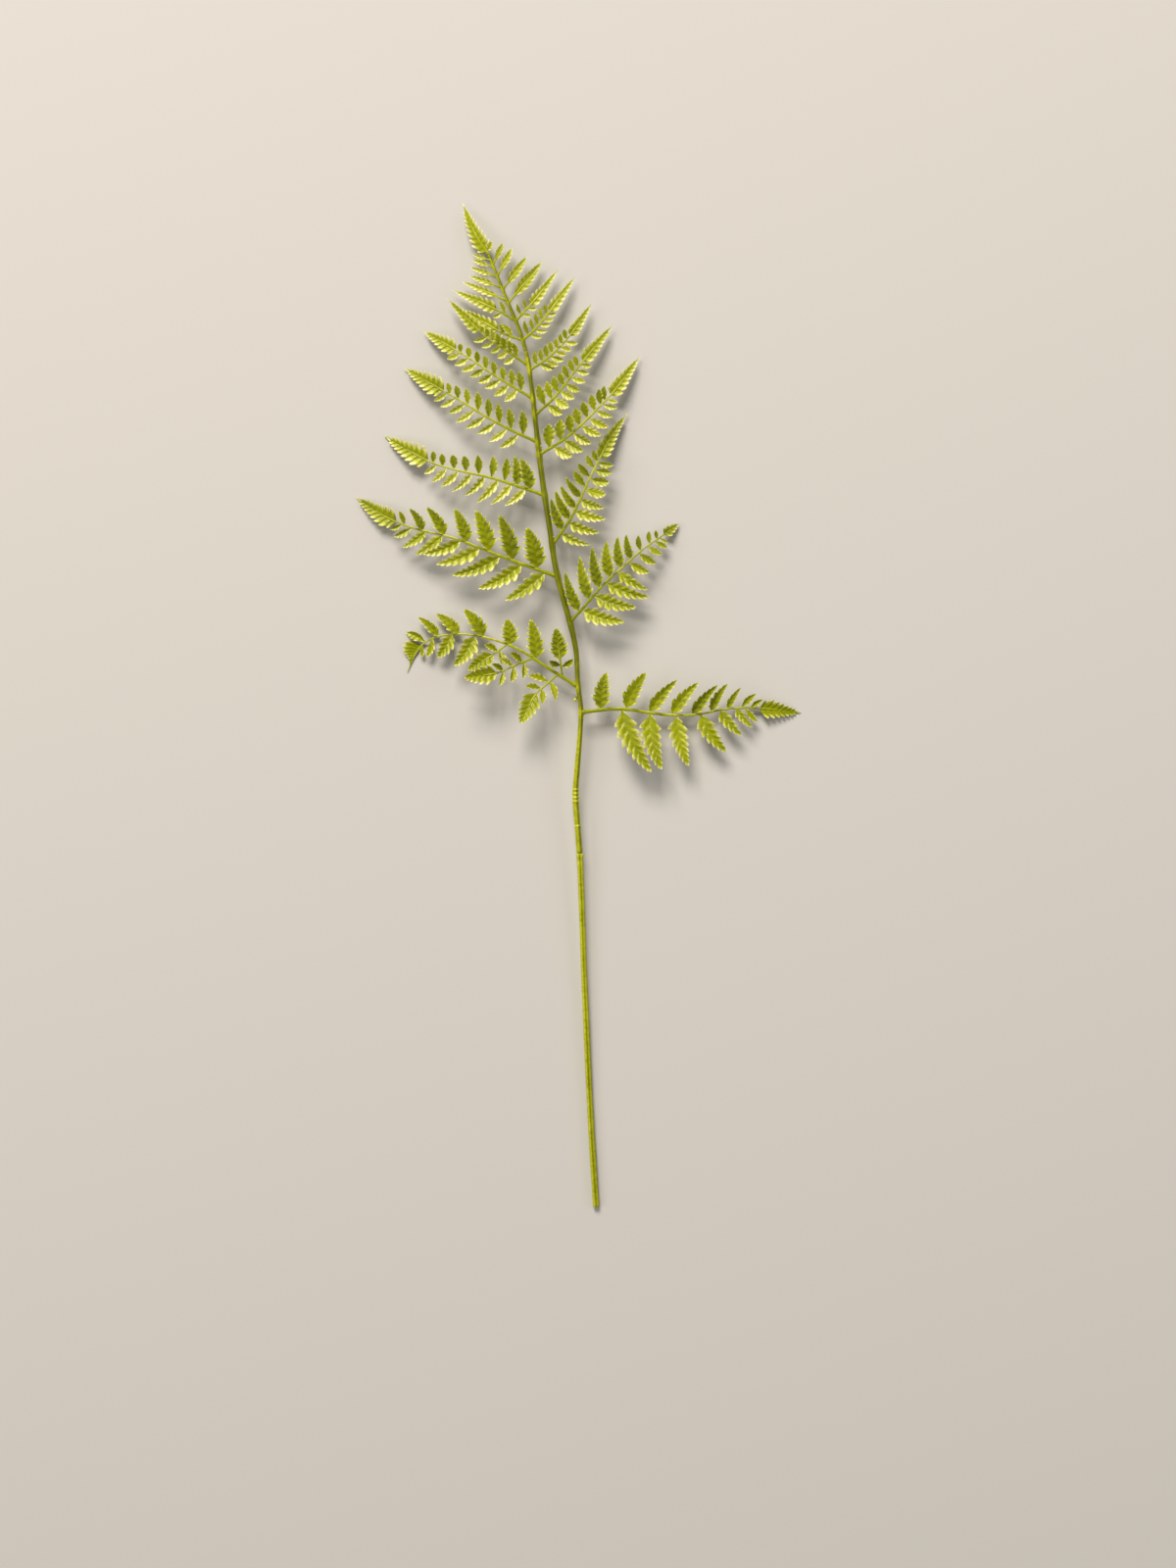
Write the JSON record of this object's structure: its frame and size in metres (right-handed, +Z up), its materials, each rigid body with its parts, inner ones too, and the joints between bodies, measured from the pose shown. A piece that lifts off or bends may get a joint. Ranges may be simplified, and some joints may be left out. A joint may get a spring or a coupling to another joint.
{
  "type": "fern frond",
  "caption": "Moulded artificial fern frond with a long ribbed stalk and toothed pinnae, lying flat for use as greenery.",
  "frame": {"origin": "on the surface that the frond lies on, below the middle of its box", "axes": "+Y from the cut end of the stalk to the tip of the frond, +X to the frond's right, +Z up off the surface"},
  "size_m": [0.3314, 0.7506, 0.0284],
  "materials": {
    "leaf": "satin moulded plastic, yellow-green with paler tooth tips",
    "stem": "satin moulded plastic, bright yellow-green with fine lengthwise grooves"
  },
  "bodies": {
    "root": {"stalk": "stem", "rachis": "stem", "rachis_top": "stem", "pinna_right_1": "leaf", "pinna_right_2": "leaf", "pinna_right_3": "leaf", "pinna_right_4": "leaf", "pinna_right_5": "leaf", "pinna_right_6": "leaf", "pinna_right_7": "leaf", "pinna_right_8": "leaf", "pinna_right_9": "leaf", "pinna_right_10": "leaf", "pinna_right_11": "leaf", "pinna_right_12": "leaf", "pinna_left_1": "leaf", "pinna_left_2": "leaf", "pinna_left_3": "leaf", "pinna_left_4": "leaf", "pinna_left_5": "leaf", "pinna_left_6": "leaf", "pinna_left_7": "leaf", "pinna_left_8": "leaf", "pinna_left_9": "leaf", "pinna_left_10": "leaf", "pinna_left_11": "leaf", "pinna_left_12": "leaf", "pinna_left_13": "leaf", "frond_tip": "leaf"}
  },
  "joints": []
}
